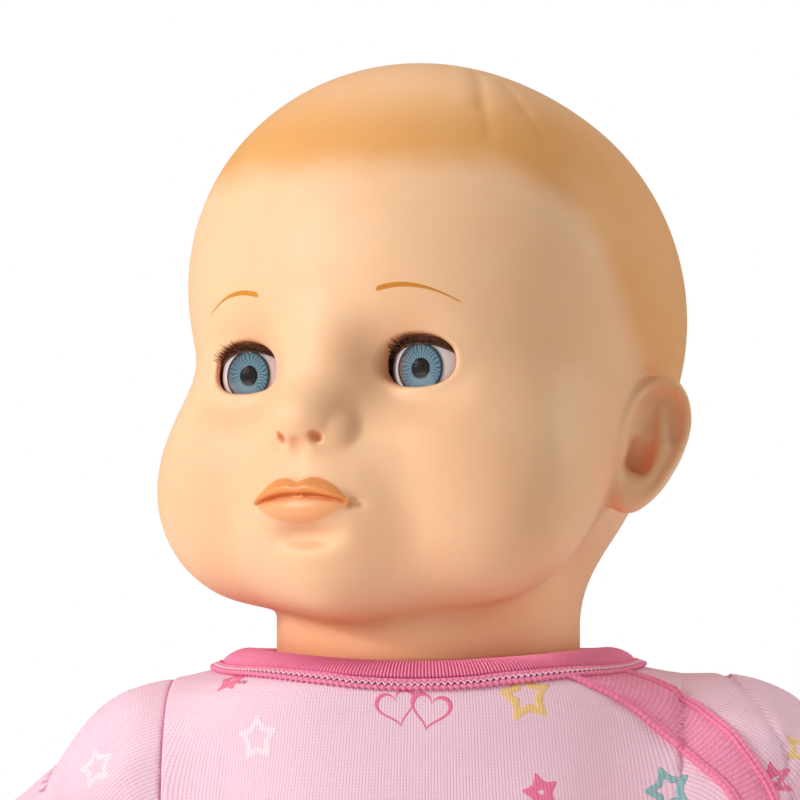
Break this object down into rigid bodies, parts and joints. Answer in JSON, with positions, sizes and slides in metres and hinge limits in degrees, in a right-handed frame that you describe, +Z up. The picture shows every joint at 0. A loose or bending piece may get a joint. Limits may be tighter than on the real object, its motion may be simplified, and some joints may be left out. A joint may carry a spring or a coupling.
{
  "type": "baby doll",
  "caption": "Seated interactive baby doll with a turning vinyl head, sleep eyes, jointed vinyl arms and legs, a stuffed cloth body in a knit sleeper and a press-to-talk sound module.",
  "frame": {"origin": "centre of the flat underside of the seat, on the plane the doll sits on", "axes": "+Z up, the doll's chest faces -Y, its left hand is on +X; the head is turned 26 degrees to its own right at rest"},
  "size_m": [0.1966, 0.2055, 0.248],
  "materials": {
    "skin_vinyl": "soft matt vinyl with painted blush",
    "eyelid_vinyl": "matt",
    "eye_white": "polished",
    "iris_print": "printed, blue-grey",
    "clear_cornea": "clear",
    "lash_fibre": "fine nylon fibres",
    "steel": "zinc plated",
    "white_plastic": "moulded",
    "body_cloth": "plain woven cloth",
    "polyester_fill": "loose fibre",
    "module_plastic": "moulded",
    "circuit_board": "solder mask",
    "black_plastic": "moulded",
    "pink_plastic": "moulded",
    "battery_jacket": "printed jacket, no lettering",
    "sleeper_knit": "soft jersey knit with a scattered star print",
    "rib_trim": "rib knit, stitched edge"
  },
  "bodies": {
    "torso": {"cloth_body": "body_cloth", "polyfill_stuffing": "polyester_fill", "seat_pellet_pouch": "body_cloth", "module_front_case": "module_plastic", "module_rear_case": "module_plastic", "circuit_board": "circuit_board", "press_switch": "black_plastic", "speaker": "black_plastic", "speaker_wire": "black_plastic", "battery_1": "battery_jacket", "battery_2": "battery_jacket", "battery_door": "module_plastic", "door_screw": "steel", "case_screw_upper": "steel", "case_screw_lower": "steel", "battery_contact": "steel", "sleeper_bodice": "sleeper_knit", "collar_binding": "rib_trim", "wrap_binding": "rib_trim"},
    "neck_socket": {"neck_casing": "body_cloth", "neck_tie": "white_plastic"},
    "head": {"head_shell": "skin_vinyl", "eye_cup_left": "white_plastic", "eye_cup_right": "white_plastic"},
    "eye_left": {"eyeball_left": "eye_white", "iris_left": "iris_print", "cornea_left": "clear_cornea", "eyelid_left": "eyelid_vinyl", "lashes_left": "lash_fibre", "eye_weight_left": "steel", "eye_axle_left": "steel"},
    "eye_right": {"eyeball_right": "eye_white", "iris_right": "iris_print", "cornea_right": "clear_cornea", "eyelid_right": "eyelid_vinyl", "lashes_right": "lash_fibre", "eye_weight_right": "steel", "eye_axle_right": "steel"},
    "arm_left": {"arm_left": "skin_vinyl", "sleeve_left": "sleeper_knit", "sleeve_cuff_left": "rib_trim", "shoulder_disc_left": "white_plastic", "shoulder_washer_left": "white_plastic"},
    "arm_right": {"arm_right": "skin_vinyl", "sleeve_right": "sleeper_knit", "sleeve_cuff_right": "rib_trim", "shoulder_disc_right": "white_plastic", "shoulder_washer_right": "white_plastic"},
    "leg_left": {"leg_left": "skin_vinyl", "legging_left": "sleeper_knit", "ankle_cuff_left": "rib_trim", "hip_disc_left": "white_plastic", "hip_washer_left": "white_plastic"},
    "leg_right": {"leg_right": "skin_vinyl", "legging_right": "sleeper_knit", "ankle_cuff_right": "rib_trim", "hip_disc_right": "white_plastic", "hip_washer_right": "white_plastic"},
    "tummy_plate": {"press_plate": "pink_plastic"},
    "power_switch": {"power_knob": "black_plastic"}
  },
  "joints": [
    {"name": "neck_nod", "type": "hinge", "parent": "torso", "child": "neck_socket", "pos_m": [0, 0, 0.121], "axis": [1, 0, 0], "range_deg": [-6, 6], "stiffness_Nm_per_rad": 0.2},
    {"name": "neck_turn", "type": "hinge", "parent": "neck_socket", "child": "head", "pos_m": [0, 0, 0.121], "axis": [0, 0, 1], "range_deg": [-50, 100]},
    {"name": "eye_roll_left", "type": "hinge", "parent": "head", "child": "eye_left", "pos_m": [0.00481, -0.03405, 0.185], "axis": [0.8988, -0.4384, 0], "range_deg": [0, 57]},
    {"name": "eye_roll_right", "type": "hinge", "parent": "head", "child": "eye_right", "pos_m": [-0.02979, -0.01718, 0.185], "axis": [0.8988, -0.4384, 0], "range_deg": [0, 57]},
    {"name": "shoulder_left", "type": "hinge", "parent": "torso", "child": "arm_left", "pos_m": [0.055, 0, 0.102], "axis": [-1, 0, 0], "range_deg": [-45, 165]},
    {"name": "shoulder_right", "type": "hinge", "parent": "torso", "child": "arm_right", "pos_m": [-0.055, 0, 0.102], "axis": [-1, 0, 0], "range_deg": [-45, 165]},
    {"name": "hip_left", "type": "hinge", "parent": "torso", "child": "leg_left", "pos_m": [0.04, -0.008, 0.0229], "axis": [1, 0, 0], "range_deg": [-10, 85]},
    {"name": "hip_right", "type": "hinge", "parent": "torso", "child": "leg_right", "pos_m": [-0.04, -0.008, 0.0229], "axis": [1, 0, 0], "range_deg": [-10, 85]},
    {"name": "tummy_press", "type": "slide", "parent": "torso", "child": "tummy_plate", "axis": [0, 1, 0], "range_m": [0, 0.0025], "stiffness_N_per_m": 200},
    {"name": "power_slide", "type": "slide", "parent": "torso", "child": "power_switch", "axis": [0, 0, 1], "range_m": [0, 0.004]}
  ]
}
